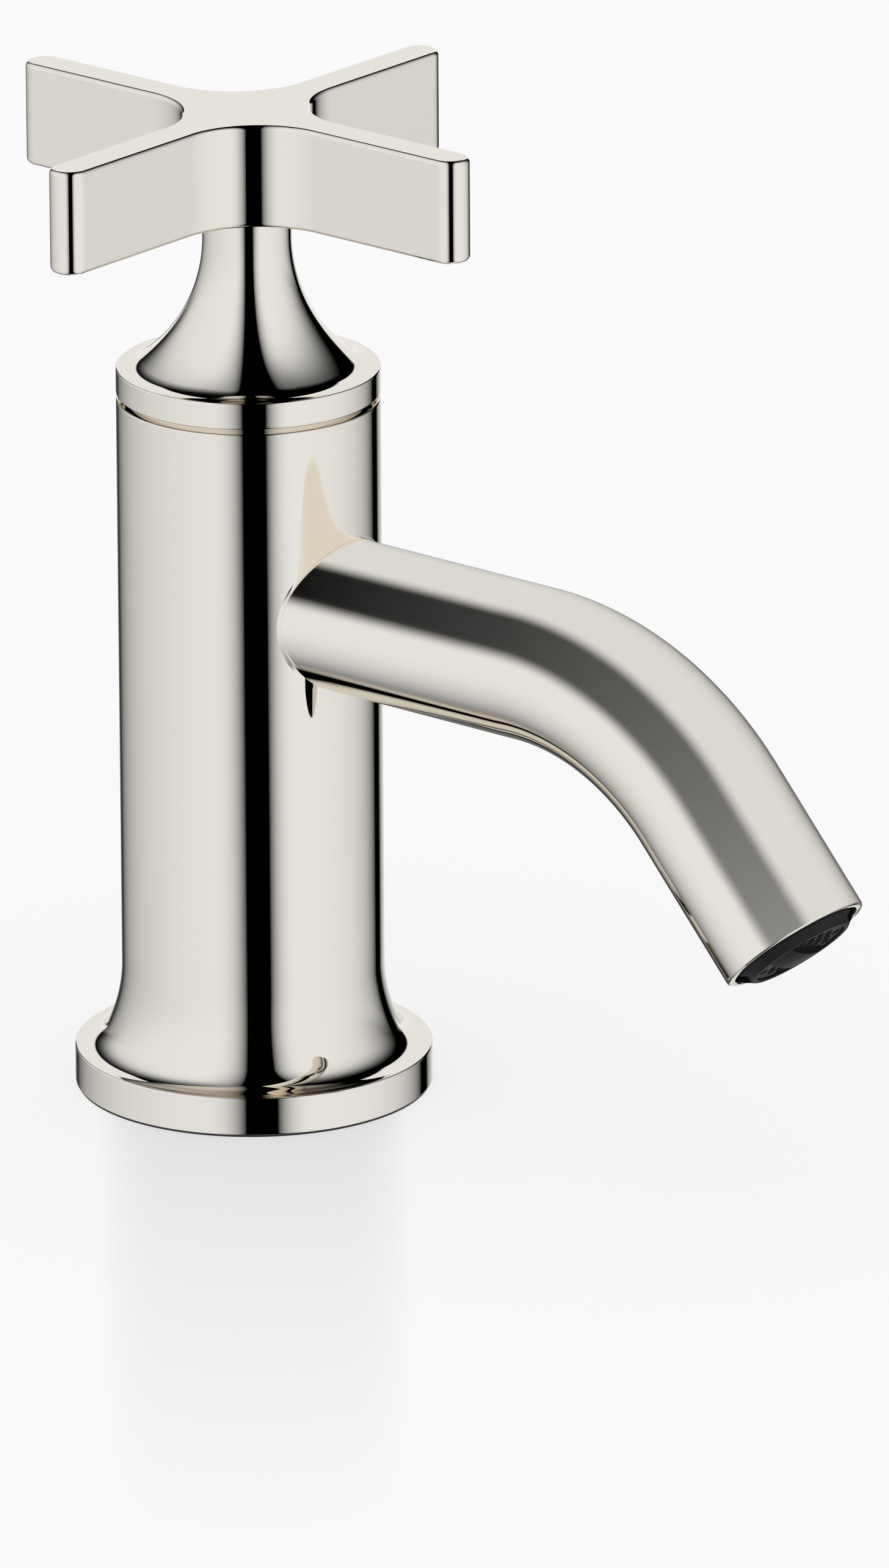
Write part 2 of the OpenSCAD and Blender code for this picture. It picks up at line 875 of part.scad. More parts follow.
// Solid cross, tapped and pinned from below
module handle_cross() {
    color(nickel)
        difference() {
            translate([0, 0, neck_top])
                linear_extrude(arm_h)
                    cross_plan();
            translate([0, 0, neck_top - eps])
                cylinder(r = cross_screw_r, h = screw_in + 1);
            dowel_rods(dowel_r + thread_slip, 0.1);
        }
}

// Screw that draws the cross down on the neck, from inside the neck
module cross_screw() {
    color(steel)
        translate([0, 0, screw_seat_z])
            socket_screw(cross_screw_r - thread_slip, neck_top - screw_seat_z + screw_in,
                         screw_head_r, screw_head_h, 4);
}

// Two rods across the joint between the neck and the cross
module dowel_rods(r, extra) {
    for (side = [-1, 1])
        translate([side * dowel_at, 0, neck_top - dowel_in - extra])
            cylinder(r = r, h = 2 * (dowel_in + extra));
}

// Dowels that keep the cross from turning on the neck
module cross_dowels() {
    color(steel)
        dowel_rods(dowel_r, 0);
}

// Hollow shank with the G 1/2 thread, its crests as a plain cylinder
module threaded_shank() {
    color(brass)
        difference() {
            union() {
                translate([0, 0, -tail_l])
                    cylinder(r = thread_r, h = tail_l);
                translate([0, 0, -eps])
                    cylinder(r = thread_r - thread_slip, h = shank_top + eps);
            }
            translate([0, 0, -tail_l - eps])
                cylinder(d = shank_bore_d, h = tail_l + shank_top + 2 * eps);
            translate([0, 0, relief_z])
                ring(thread_r + 1, thread_r - relief_d, relief_w);
            translate([0, 0, -tail_l - eps])
                linear_extrude(socket_h)
                    hexagon(socket_af);
        }
}

// Fibre seal between the shank's top and the body
module shank_seal() {
    color("#8a3b2a")
        translate([0, 0, shank_top])
            ring(thread_r - slip, inlet_bore_d / 2 + 0.5, shank_seal_t);
}

// Rubber washer against the deck's underside
module rubber_washer() {
    color(rubber)
        translate([0, 0, -deck_t - rubber_t])
            ring(washer_d / 2, thread_r + slip, rubber_t);
}

// Metal washer between the rubber washer and the nut
module metal_washer() {
    color(steel)
        translate([0, 0, nut_top])
            ring(washer_d / 2 - 1, thread_r + slip, metal_t);
}

// Hexagon backnut with turned corners
module backnut() {
    corner_r = nut_af / 2 / cos(30);
    chamfer = corner_r - nut_af / 2;
    color(brass)
        translate([0, 0, nut_top - nut_h])
            difference() {
                intersection() {
                    linear_extrude(nut_h)
                        hexagon(nut_af);
                    union() {
                        cylinder(r1 = corner_r - chamfer, r2 = corner_r + eps, h = chamfer);
                        translate([0, 0, chamfer])
                            cylinder(r = corner_r + eps, h = nut_h - chamfer);
                    }
                }
                translate([0, 0, -eps])
                    cylinder(r = thread_r + thread_slip, h = nut_h + 2 * eps);
            }
}

body_column();
base_seal();
spout_tube();
spout_spigot();
aerator_housing();
outlet_screen();
flow_regulator();
regulator_ring();
inlet_strainer();
aerator_seal();
headwork_body();
headwork_o_ring();
seat_seal();
fixed_disc();
moving_disc();
spindle();
spindle_o_rings();
brake_ring();
circlip();
gap_sleeve();
glide_ring();
spline_adapter();
adapter_screw();
grub_screw();
handle_neck();
handle_cross();
cross_screw();
cross_dowels();
threaded_shank();
shank_seal();
rubber_washer();
metal_washer();
backnut();
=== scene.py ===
# Looks for the basin pillar tap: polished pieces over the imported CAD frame, real finishes and a white studio.
import json
import math

import bpy
from mathutils import Matrix


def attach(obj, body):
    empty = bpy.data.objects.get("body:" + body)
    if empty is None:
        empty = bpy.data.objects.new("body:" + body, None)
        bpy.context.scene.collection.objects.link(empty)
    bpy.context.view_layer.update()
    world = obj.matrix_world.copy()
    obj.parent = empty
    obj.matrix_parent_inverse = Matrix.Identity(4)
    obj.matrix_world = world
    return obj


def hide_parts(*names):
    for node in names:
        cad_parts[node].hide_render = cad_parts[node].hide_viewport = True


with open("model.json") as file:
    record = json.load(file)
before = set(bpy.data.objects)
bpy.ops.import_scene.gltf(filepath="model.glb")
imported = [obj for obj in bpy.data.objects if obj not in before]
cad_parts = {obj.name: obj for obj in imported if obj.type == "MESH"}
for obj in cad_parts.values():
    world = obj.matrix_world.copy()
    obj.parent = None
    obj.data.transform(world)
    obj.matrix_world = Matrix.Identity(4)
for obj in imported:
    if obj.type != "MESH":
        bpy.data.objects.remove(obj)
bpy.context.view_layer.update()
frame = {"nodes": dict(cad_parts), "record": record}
bpy.ops.object.select_all(action="DESELECT")
mm = 0.001
noiseSpan = (0.3, 0.7)   # the part of a noise texture's range that a finish uses
edgeSteps = 8            # steps in the round of a turned edge


# small helpers

def sayStage(text):
    print("tap scene:", text)


def linear(hexColour):
    channels = [int(hexColour[i:i + 2], 16) / 255 for i in (0, 2, 4)]
    return tuple(c / 12.92 if c <= 0.04045 else ((c + 0.055) / 1.055) ** 2.4 for c in channels) + (1.0,)


def addNode(tree, kind, settings=None, **inputs):
    # an input is a number, a colour or another node's output
    # its socket goes by name, or by place as i0, i1 and so on
    node = tree.nodes.new(kind)
    for key, value in (settings or {}).items():
        setattr(node, key, value)
    for key, value in inputs.items():
        byPlace = key[0] == "i" and key[1:].isdigit()
        socket = node.inputs[int(key[1:]) if byPlace else key.replace("_", " ")]
        if isinstance(value, bpy.types.NodeSocket):
            tree.links.new(value, socket)
        else:
            socket.default_value = value
    return node


def addMath(tree, operation, a, b=0.0, clamp=False):
    settings = {"operation": operation, "use_clamp": clamp}
    return addNode(tree, "ShaderNodeMath", settings, i0=a, i1=b).outputs[0]


def addRange(tree, value, low, high, atLow=0.0, atHigh=1.0, smooth=True):
    # maps low..high to atLow..atHigh, and keeps to these ends outside
    kind = "SMOOTHSTEP" if smooth else "LINEAR"
    return addNode(tree, "ShaderNodeMapRange", {"interpolation_type": kind}, i0=value, i1=low, i2=high,
                   i3=atLow, i4=atHigh).outputs[0]


def mixNumbers(tree, share, first, second):
    return addNode(tree, "ShaderNodeMix", {"data_type": "FLOAT"}, i0=share, i2=first, i3=second).outputs[0]


def mixColours(tree, share, first, second):
    return addNode(tree, "ShaderNodeMix", {"data_type": "RGBA"}, i0=share, i6=first, i7=second).outputs[2]


def mixShaders(tree, share, first, second):
    return addNode(tree, "ShaderNodeMixShader", i0=share, i1=first, i2=second).outputs[0]


def addNoise(tree, place, size, detail, roughness=0.5):
    # the size of the noise's patches is in mm
    return addNode(tree, "ShaderNodeTexNoise", Vector=place, Scale=1 / (size * mm), Detail=detail,
                   Roughness=roughness).outputs[0]


def newMaterial(name):
    material = bpy.data.materials.new(name)
    material.use_nodes = True
    material.node_tree.nodes.clear()
    return material, material.node_tree


def pickPiece(piece):
    bpy.ops.object.select_all(action="DESELECT")
    piece.select_set(True)
    bpy.context.view_layer.objects.active = piece


def editAll(piece):
    pickPiece(piece)
    bpy.ops.object.mode_set(mode="EDIT")
    bpy.ops.mesh.select_mode(type="VERT")
    bpy.ops.mesh.select_all(action="SELECT")


def leaveEdit():
    bpy.ops.object.mode_set(mode="OBJECT")


def applyModifier(piece, kind, **settings):
    pickPiece(piece)
    modifier = piece.modifiers.new(kind.lower(), kind)
    for key, value in settings.items():
        setattr(modifier, key, value)
    bpy.ops.object.modifier_apply(modifier=modifier.name)


def roundEdges(piece, width, segments, angle):
    applyModifier(piece, "BEVEL", width=width * mm, segments=segments, limit_method="ANGLE",
                  angle_limit=math.radians(angle))


def placePiece(piece, matrix=None):
    # works the object's place into its mesh, so that the object sits at the origin
    if matrix is not None:
        piece.matrix_world = matrix @ piece.matrix_world
    pickPiece(piece)
    bpy.ops.object.transform_apply(location=True, rotation=True, scale=True)


def smoothPiece(piece, angle=30, weighted=True):
    pickPiece(piece)
    bpy.ops.object.shade_smooth_by_angle(angle=math.radians(angle))
    if weighted:
        applyModifier(piece, "WEIGHTED_NORMAL", mode="FACE_AREA", weight=50, keep_sharp=True)


def combine(piece, other, operation):
    applyModifier(piece, "BOOLEAN", operation=operation, solver="EXACT", object=other)
    bpy.data.objects.remove(other)


def cutAway(piece, cutter):
    combine(piece, cutter, "DIFFERENCE")


def joinPieces(first, others):
    bpy.ops.object.select_all(action="DESELECT")
    for piece in [first] + others:
        piece.select_set(True)
    bpy.context.view_layer.objects.active = first
    bpy.ops.object.join()
    return first


def rodCutter(radius, start, end, steps=64):
    # a plain round rod between two points, in mm, used only to cut
    a, b = [Matrix.Translation([v * mm for v in p]).to_translation() for p in (start, end)]
    along = b - a
    bpy.ops.object.select_all(action="DESELECT")
    bpy.ops.mesh.primitive_cylinder_add(vertices=steps, radius=radius * mm, depth=along.length)
    rod = bpy.context.object
    turn = along.to_track_quat("Z", "Y").to_matrix().to_4x4()
    rod.matrix_world = Matrix.Translation((a + b) / 2) @ turn
    placePiece(rod)
    return rod


def boxAt(name, low, high):
    bpy.ops.object.select_all(action="DESELECT")
    bpy.ops.mesh.primitive_cube_add(size=1)
    piece = bpy.context.object
    piece.name = piece.data.name = name
    piece.matrix_world = (Matrix.Translation([(a + b) / 2 * mm for a, b in zip(low, high)])
                          @ Matrix.Diagonal([(b - a) * mm for a, b in zip(low, high)] + [1]))
    placePiece(piece)
    return piece


def arcPoints(centre, radius, start, end, count):
    angles = [math.radians(start + (end - start) * i / count) for i in range(count + 1)]
    return [(centre[0] + radius * math.cos(a), centre[1] + radius * math.sin(a)) for a in angles]


def withSupports(points, gap=0.04, longest=0.6):
    # puts a point close to both ends of each long straight run, so that its shading stays flat
    out = [points[0]]
    for a, b in zip(points, points[1:]):
        length = math.dist(a, b)
        if length > longest:
            for share in (gap / length, 1 - gap / length):
                out.append((a[0] + (b[0] - a[0]) * share, a[1] + (b[1] - a[1]) * share))
        if length > 1e-5:
            out.append(b)
    return out


def drawLine(name, points, flat=False):
    # extrudes one vertex along the points, in the XZ plane, or in XY when flat
    where = [(x * mm, y * mm, 0) if flat else (x * mm, 0, y * mm) for x, y in points]
    bpy.ops.object.select_all(action="DESELECT")
    bpy.ops.mesh.primitive_circle_add(vertices=3, radius=mm)
    piece = bpy.context.object
    piece.name = piece.data.name = name
    editAll(piece)
    bpy.ops.mesh.merge(type="CENTER")
    bpy.ops.transform.translate(value=where[0])
    for a, b in zip(where, where[1:]):
        step = tuple(q - p for p, q in zip(a, b))
        bpy.ops.mesh.extrude_vertices_move(TRANSFORM_OT_translate={"value": step})
    return piece


def weldAll():
    bpy.ops.mesh.select_all(action="SELECT")
    bpy.ops.mesh.remove_doubles(threshold=1e-6)


def faceOutward():
    bpy.ops.mesh.select_all(action="SELECT")
    bpy.ops.mesh.normals_make_consistent(inside=False)
    leaveEdit()


def turnPiece(name, points, steps=256):
    # turns a closed half section about the Z axis, as on a lathe
    piece = drawLine(name, withSupports(points + points[:1]))
    bpy.ops.mesh.select_all(action="SELECT")
    bpy.ops.mesh.spin(steps=steps, angle=2 * math.pi, center=(0, 0, 0), axis=(0, 0, 1))
    weldAll()
    faceOutward()
    return piece


# finishes

def metalMaterial(name, colour, edge, low, high, scale, bump=0.0, bumpScale=0.0, lines=0.0):
    # metal: its roughness wanders between low and high over patches of the given scale in mm
    material, tree = newMaterial(name)
    place = addNode(tree, "ShaderNodeTexCoord").outputs["Object"]
    rough = addRange(tree, addNoise(tree, place, scale, 3.0, 0.55), *noiseSpan, low, high, smooth=False)
    shader = addNode(tree, "ShaderNodeBsdfPrincipled", Base_Color=linear(colour), Metallic=1.0,
                     Roughness=rough, Specular_Tint=linear(edge))
    if bump:
        if lines:
            height = addNode(tree, "ShaderNodeTexWave", {"wave_type": "BANDS", "bands_direction": "Z"},
                             Vector=place, Scale=math.pi / (10 * lines * mm), Distortion=0.6,
                             Detail=2.0).outputs[1]
        else:
            height = addNoise(tree, place, bumpScale, 2.0)
        relief = addNode(tree, "ShaderNodeBump", Strength=bump, Distance=0.02 * mm, Height=height)
        tree.links.new(relief.outputs[0], shader.inputs["Normal"])
    addNode(tree, "ShaderNodeOutputMaterial", Surface=shader.outputs[0])
    return material


def mouldedMaterial(name, colour, second, roughness, ior, grain, strength, patch, shine=0.5, spread=0.05):
    # plastic, rubber, fibre or ceramic: two close colours mixed in patches, and a fine grain, both in mm
    material, tree = newMaterial(name)
    place = addNode(tree, "ShaderNodeTexCoord").outputs["Object"]
    cloud = addNoise(tree, place, patch, 4.0, 0.6)
    tone = mixColours(tree, cloud, linear(colour), linear(second))
    rough = addRange(tree, cloud, *noiseSpan, roughness - spread, roughness + spread, smooth=False)
    relief = addNode(tree, "ShaderNodeBump", Strength=strength, Distance=0.03 * mm,
                     Height=addNoise(tree, place, grain, 2.0))
    shader = addNode(tree, "ShaderNodeBsdfPrincipled", Base_Color=tone, Roughness=rough, IOR=ior,
                     Specular_IOR_Level=shine, Normal=relief.outputs[0])
    addNode(tree, "ShaderNodeOutputMaterial", Surface=shader.outputs[0])
    return material


finishes = {
    # nickel plate, mirror polished: warm white reflections that deepen to tan where it reflects itself
    "polished_nickel": metalMaterial("polishedNickelPlate", "E7DFD2", "FAF7F1", 0.02, 0.035, 14),
    # brass, turned: yellow, with fine rings from the tool
    "brass": metalMaterial("turnedBrass", "DDBE7C", "E8D7A8", 0.16, 0.26, 5, bump=0.25, lines=0.6),
    # stainless steel, machined: grey, softly blurred
    "steel": metalMaterial("machinedStainless", "B9BABC", "D8D8D8", 0.22, 0.34, 4, bump=0.2, bumpScale=0.3),
    # acetal, moulded black: dark grey-black with a broad dull shine
    "black_plastic": mouldedMaterial("mouldedBlackAcetal", "161616", "1E1E1D", 0.48, 1.48, 0.25, 0.15, 3,
                                     shine=0.12),
    # acetal, moulded white: milky, with a soft shine
    "white_plastic": mouldedMaterial("mouldedWhiteAcetal", "ECEAE2", "E2DFD5", 0.38, 1.48, 0.3, 0.12, 3),
    # nitrile rubber: near black and dull
    "rubber": mouldedMaterial("nitrileRubber", "1B1B1C", "262626", 0.72, 1.52, 0.2, 0.35, 2),
    # sealing fibre: red-brown, dull and slightly hairy
    "fibre": mouldedMaterial("vulcanisedFibre", "7C3325", "92422F", 0.82, 1.5, 0.35, 0.6, 1.2),
    # alumina ceramic, lapped: warm white with a clean shine
    "ceramic": mouldedMaterial("lappedAlumina", "F2EEE3", "EAE5D8", 0.16, 1.76, 0.4, 0.04, 4),
}

slotOf = {part["node"]: part["material_slot"] for part in frame["record"]["subparts"]}
for node, shown in frame["nodes"].items():
    for holder in shown.material_slots:
        holder.material = finishes[slotOf[node]]


def finishPiece(piece, slot, body, *nodes):
    piece.data.materials.clear()
    piece.data.materials.append(finishes[slot])
    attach(piece, body)
    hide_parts(*nodes)


sayStage("finishes are ready")


# camera and studio

camera = {
    # the turn about the tap's axis in degrees, then the place in mm as seen in that direction
    "azimuth": -49.628, "back": 2751.64, "aside": 29.24, "height": 972.45,
    "down": 18.587, "roll": -0.316,      # degrees below level, and about the line of sight
    "lens": 439.0, "filmWidth": 36,      # mm, along the photograph's long side
}


def makeCamera(values):
    data = bpy.data.cameras.new("photoCamera")
    data.lens = values["lens"]
    data.sensor_width = values["filmWidth"]
    data.clip_start, data.clip_end = 0.1, 40
    shown = bpy.data.objects.new("photoCamera", data)
    bpy.context.scene.collection.objects.link(shown)
    turn = Matrix.Rotation(math.radians(values["azimuth"]), 4, "Z")
    place = Matrix.Translation((values["aside"] * mm, -values["back"] * mm, values["height"] * mm))
    tilt = Matrix.Rotation(math.radians(90 - values["down"]), 4, "X")
    roll = Matrix.Rotation(math.radians(values["roll"]), 4, "Z")
    shown.matrix_world = turn @ place @ tilt @ roll
    bpy.context.scene.camera = shown


studio = {
    "front": 49.628,                 # degrees that bring the photograph's camera to the front
    "backdrop": "F9F9F9",
    "tent": (1.005, 1.055, 1.128),   # the white cloth that the metal mirrors
    # dark slit in front: from, to and how far each side fades, degrees, + to the right; how steeply it fades
    "slit": (-4.4, 14.5, 30, 26), "slitPower": 3.0,
    "slitEnds": (0.345, 0.43),       # where the slit ends behind the tap, as the sine of the height
    # dark gaps behind: from, to, how quickly each side fades, how dark the gap is, and how high it reaches
    "gaps": ((138, 149, 22, 12, 1.0, 120), (-164, -160, 5, 46.5, 0.8, 0), (-180, -160, 5, 8, 0.8, 0)),
    # share of a gap's darkness above that height, and how softly it drops to it
    "gapsAbove": 0.35, "gapsSoft": 14.0,
    # bright card behind the tap: left, right, bottom and top in degrees, its level; how soft its edges are
    "card": (-19.2, 26, -10, 40, 0.97), "cardSoft": 2.0,
    # the dark round the card: its reach to the left and right and above, and how steeply it ends
    "besideCard": (19, 36), "aboveCard": 37, "besidePower": 2.0, "abovePower": 6.0,
    "darkFoot": (-7.0, 1.0),         # the heights between which that dark sets in, degrees
    "fill": 0.945,                   # light on dull surfaces, from all round
    "sun": 0.3, "sunSpread": 60, "sunTurn": (35, 0, -60),
    "floorSize": 12000, "floorColour": "F9F9F9",
    "floorPlain": 0.55,              # share of the floor that takes no shadow
    # the tap's painted reflection in the floor: how much shows, its grey, its size, and where its sides turn
    # soft
    "mirrorShare": 0.4, "mirrorLevel": 0.6, "mirrorDepth": 70, "mirrorRadius": 24, "mirrorTop": -0.05,
    "mirrorSides": (0.92, 0.22),
}


def makeWorld(values):
    world = bpy.data.worlds.new("whiteTent")
    bpy.context.scene.world = world
    world.use_nodes = True
    tree = world.node_tree
    tree.nodes.clear()

    def sums(operation, a, b=0.0, clamp=False):
        return addMath(tree, operation, a, b, clamp)

    def outside(angle, start, end, before, after):
        left = sums("DIVIDE", sums("MAXIMUM", sums("SUBTRACT", start, angle), 0.0), float(before))
        right = sums("DIVIDE", sums("MAXIMUM", sums("SUBTRACT", angle, end), 0.0), float(after))
        return sums("ADD", left, right)

    def fading(distance):
        return sums("EXPONENT", sums("MULTIPLY", distance, -1.0))

    def darker(light, dark, share):
        return sums("MULTIPLY", light, sums("SUBTRACT", 1.0, sums("MULTIPLY", dark, share)))

    way = addNode(tree, "ShaderNodeTexCoord").outputs["Generated"]
    turned = addNode(tree, "ShaderNodeVectorRotate", {"rotation_type": "Z_AXIS"}, Vector=way,
                     Angle=math.radians(values["front"]))
    across, behind, up = addNode(tree, "ShaderNodeSeparateXYZ", Vector=turned.outputs[0]).outputs
    azimuth = sums("DEGREES", sums("ARCTAN2", across, sums("MULTIPLY", behind, -1.0)))
    fromBack = sums("DEGREES", sums("ARCTAN2", across, behind))
    height = sums("DEGREES", sums("ARCSINE", up))

    # the slit stands in front and goes on over the tap, and fades low down behind it
    fromSlit = outside(sums("DEGREES", sums("ARCSINE", across)), *values["slit"])
    slit = sums("POWER", sums("SUBTRACT", 1.0, fromSlit, clamp=True), values["slitPower"])
    reaches = sums("MAXIMUM", sums("LESS_THAN", behind, 0.0), addRange(tree, up, *values["slitEnds"]))
    light = darker(1.0, slit, reaches)

    soft = values["gapsSoft"]
    for start, end, before, after, depth, reach in values["gaps"]:
        amount = addRange(tree, height, reach - soft, reach + soft, depth, depth * values["gapsAbove"])
        light = darker(light, fading(outside(azimuth, start, end, before, after)), amount)

    # the bright card stands behind, and the tent is dark round its sides and top
    left, right, bottom, top, level = values["card"]
    onLeft, onRight = sums("SUBTRACT", left, fromBack), sums("SUBTRACT", fromBack, right)
    above, below = sums("SUBTRACT", height, top), sums("SUBTRACT", bottom, height)
    card = 1.0
    for edge in (sums("MAXIMUM", onLeft, onRight), above, below):
        inside = sums("SUBTRACT", 0.5, sums("DIVIDE", edge, values["cardSoft"]), clamp=True)
        card = sums("MULTIPLY", card, inside)
    reachLeft, reachRight = (float(reach) for reach in values["besideCard"])
    beside = sums("MAXIMUM", sums("DIVIDE", onLeft, reachLeft), sums("DIVIDE", onRight, reachRight))
    beside = sums("MULTIPLY", sums("MAXIMUM", beside, 0.0), sums("COSINE", sums("ARCSINE", up)))
    beside = sums("POWER", beside, values["besidePower"])
    over = sums("DIVIDE", sums("MAXIMUM", above, 0.0), float(values["aboveCard"]))
    over = sums("POWER", over, values["abovePower"])
    light = darker(light, fading(sums("ADD", beside, over)), addRange(tree, height, *values["darkFoot"]))
    light = mixNumbers(tree, card, light, level)

    rays = addNode(tree, "ShaderNodeLightPath").outputs
    tent = addNode(tree, "ShaderNodeBackground", Color=values["tent"] + (1.0,), Strength=light)
    backdrop = addNode(tree, "ShaderNodeBackground", Color=linear(values["backdrop"]), Strength=1.0)
    fill = addNode(tree, "ShaderNodeBackground", Color=(1, 1, 1, 1), Strength=values["fill"])
    mirrored = mixShaders(tree, rays["Is Glossy Ray"], fill.outputs[0], tent.outputs[0])
    seen = mixShaders(tree, rays["Is Camera Ray"], mirrored, backdrop.outputs[0])
    addNode(tree, "ShaderNodeOutputWorld", Surface=seen)


def makeFloor(values):
    # white floor: most of it shows plain, the rest takes the shadow, and some lets the painted mirror image
    # through
    bpy.ops.object.select_all(action="DESELECT")
    bpy.ops.mesh.primitive_plane_add(size=values["floorSize"] * mm)
    floor = bpy.context.object
    floor.name = "floor"
    material, tree = newMaterial("paleTable")
    seen = addNode(tree, "ShaderNodeLightPath").outputs["Is Camera Ray"]
    paint = addNode(tree, "ShaderNodeBsdfDiffuse", Color=linear(values["floorColour"])).outputs[0]
    plain = addNode(tree, "ShaderNodeEmission", Color=linear(values["backdrop"])).outputs[0]
    clear = addNode(tree, "ShaderNodeBsdfTransparent").outputs[0]
    top = mixShaders(tree, addMath(tree, "MULTIPLY", seen, values["floorPlain"]), paint, plain)
    # this share lets the painted reflection under the floor show through
    top = mixShaders(tree, addMath(tree, "MULTIPLY", seen, values["mirrorShare"]), top, clear)
    fromBelow = addNode(tree, "ShaderNodeNewGeometry").outputs["Backfacing"]
    addNode(tree, "ShaderNodeOutputMaterial", Surface=mixShaders(tree, fromBelow, top, clear))
    floor.data.materials.append(material)
    floor.visible_glossy = False


def makeMirrorImage(values):
    # painted reflection: a grey shape under the floor stands for the tap's faint image in it, seen only through
    # the floor, soft at its sides, fading with depth
    outer, depth, top = values["mirrorRadius"], values["mirrorDepth"], values["mirrorTop"]
    piece = turnPiece("mirrorImage", [(0, top), (outer, top), (outer, -depth), (0, -depth)], 96)
    smoothPiece(piece, 60, weighted=False)
    material, tree = newMaterial("mirrorImage")
    place = addNode(tree, "ShaderNodeTexCoord").outputs["Object"]
    height = addNode(tree, "ShaderNodeSeparateXYZ", Vector=place).outputs[2]
    facing = addNode(tree, "ShaderNodeLayerWeight", Blend=0.5).outputs["Facing"]
    rays = addNode(tree, "ShaderNodeLightPath").outputs
    through = addMath(tree, "GREATER_THAN", rays["Transparent Depth"], 0.5)
    front = addMath(tree, "SUBTRACT", 1.0, addNode(tree, "ShaderNodeNewGeometry").outputs["Backfacing"])
    cover = addMath(tree, "MULTIPLY", addRange(tree, height, -depth * mm, 0.0, smooth=False),
                    addRange(tree, facing, *values["mirrorSides"]))
    # painted reflection: grey where the shape covers, plain floor white elsewhere
    tone = mixColours(tree, cover, linear(values["backdrop"]), (values["mirrorLevel"],) * 3 + (1.0,))
    image = addNode(tree, "ShaderNodeEmission", Color=tone).outputs[0]
    clear = addNode(tree, "ShaderNodeBsdfTransparent").outputs[0]
    mixed = mixShaders(tree, addMath(tree, "MULTIPLY", through, front), clear, image)
    addNode(tree, "ShaderNodeOutputMaterial", Surface=mixed)
    piece.data.materials.append(material)
    piece.visible_glossy = piece.visible_diffuse = piece.visible_shadow = piece.visible_transmission = False


def makeSun(values):
    # a broad soft lamp, hidden from the metal, so that the floor stays even
    data = bpy.data.lights.new("softSun", "SUN")
    data.energy = values["sun"]
    data.angle = math.radians(values["sunSpread"])
    lamp = bpy.data.objects.new("softSun", data)
    bpy.context.scene.collection.objects.link(lamp)
    lamp.rotation_euler = [math.radians(v) for v in values["sunTurn"]]
    lamp.visible_glossy = False


bpy.context.scene.view_settings.view_transform = "Standard"
makeCamera(camera)
makeWorld(studio)
makeFloor(studio)
makeSun(studio)
sayStage("camera and studio are ready")


# column

column = {
    "radius": 20, "top": 109.1, "bottom": 0.3, "rim": 27.25, "rimTop": 6.25, "land": 0.75, "flareTop": 19.4,
    "tightRadius": 4.7, "edge": 0.3, "pocket": 17, "shoulder": 92.3, "gland": (12.5775, 90.6),
    "thread": 10.4775, "chamberTop": 86.3, "chamber": 9.6, "seat": 66.3, "inlet": 5.5, "inletBottom": 16,
    "boss": 13.4775, "core": 54, "sealGroove": (21, 23.5, 1.81),
    "port": 7.5, "portHeight": 78.3, "portFrom": 4, "portTo": 24, "portRows": 10,
}


def bellCurve(innerRadius, height, outerRadius, foot, tight, fine=40):
    # the flare's two arcs, from its foot at the outer radius up to the wall at the inner radius
    width, rise = outerRadius - innerRadius, height - foot
    wide = (width ** 2 + (rise - tight) ** 2 - tight ** 2) / (2 * (width - tight))
    wideCentre, tightCentre = (innerRadius + wide, height), (outerRadius, foot + tight)
    join = math.degrees(math.atan2(tightCentre[1] - wideCentre[1], tightCentre[0] - wideCentre[0])) % 360
    return arcPoints(tightCentre, tight, 270, join, fine) + arcPoints(wideCentre, wide, join, 180, fine)[1:]


def makeColumn(values):
    r, rim, edge, bottom, top = (values[k] for k in ("radius", "rim", "edge", "bottom", "top"))
    inner, outer, depth = values["sealGroove"]
    port, rows = values["portHeight"], values["portRows"]
    section = [(values["thread"], bottom), (values["boss"], bottom), (values["boss"], values["core"]),
               (values["pocket"], values["core"]), (values["pocket"], bottom),
               (inner, bottom), (inner, depth), (outer, depth), (outer, bottom)]
    section += arcPoints((rim - edge, bottom + edge), edge, 270, 360, edgeSteps)
    section += arcPoints((rim - edge, values["rimTop"] - edge), edge, 0, 90, edgeSteps)
    section += bellCurve(r, values["flareTop"], rim - values["land"], values["rimTop"], values["tightRadius"])
    section += [(r, port - rows), (r, port + rows)]
    section += arcPoints((r - edge, top - edge), edge, 0, 90, edgeSteps)
    section += [(values["pocket"], top), (values["pocket"], values["shoulder"]),
                (values["gland"][0], values["shoulder"]), values["gland"],
                (values["thread"], values["gland"][1]), (values["thread"], values["chamberTop"]),
                (values["chamber"], values["chamberTop"]), (values["chamber"], values["seat"]),
                (values["inlet"], values["seat"]), (values["inlet"], values["inletBottom"]),
                (values["thread"], values["inletBottom"])]
    piece = turnPiece("column", section)
    start, end = (0, -values["portFrom"], port), (0, -values["portTo"], port)
    cutAway(piece, rodCutter(values["port"], start, end, 96))
    smoothPiece(piece)
    finishPiece(piece, "polished_nickel", "tap", "body_column")


makeColumn(column)
makeMirrorImage(studio)
sayStage("column is turned")


# spout

spout = {
    "radius": 11.7, "bore": 9.7, "height": 78.3, "run": 56.5, "bendRadius": 45.2, "bend": 48.2, "nose": 24.8,
    "noseEdge": 0.6, "recess": 10.45, "recessDepth": 12, "innerEdge": 0.25, "start": 8,
    "roundSteps": 192, "bendSteps": 64, "noseSteps": 10, "lipSteps": 6,
    # rows this close to the bend and to the nose's edge keep the tube straight
    "support": 0.5, "edgeSupport": 0.06,
    "columnRadius": 20.02, "columnFrom": 55, "columnTo": 100,
}
bendAngle = math.radians(spout["bend"])
flow = (0, -math.cos(bendAngle), -math.sin(bendAngle))
outlet = (0, -spout["run"] - spout["bendRadius"] * math.sin(bendAngle) + flow[1] * spout["nose"],
          spout["height"] - spout["bendRadius"] * (1 - math.cos(bendAngle)) + flow[2] * spout["nose"])


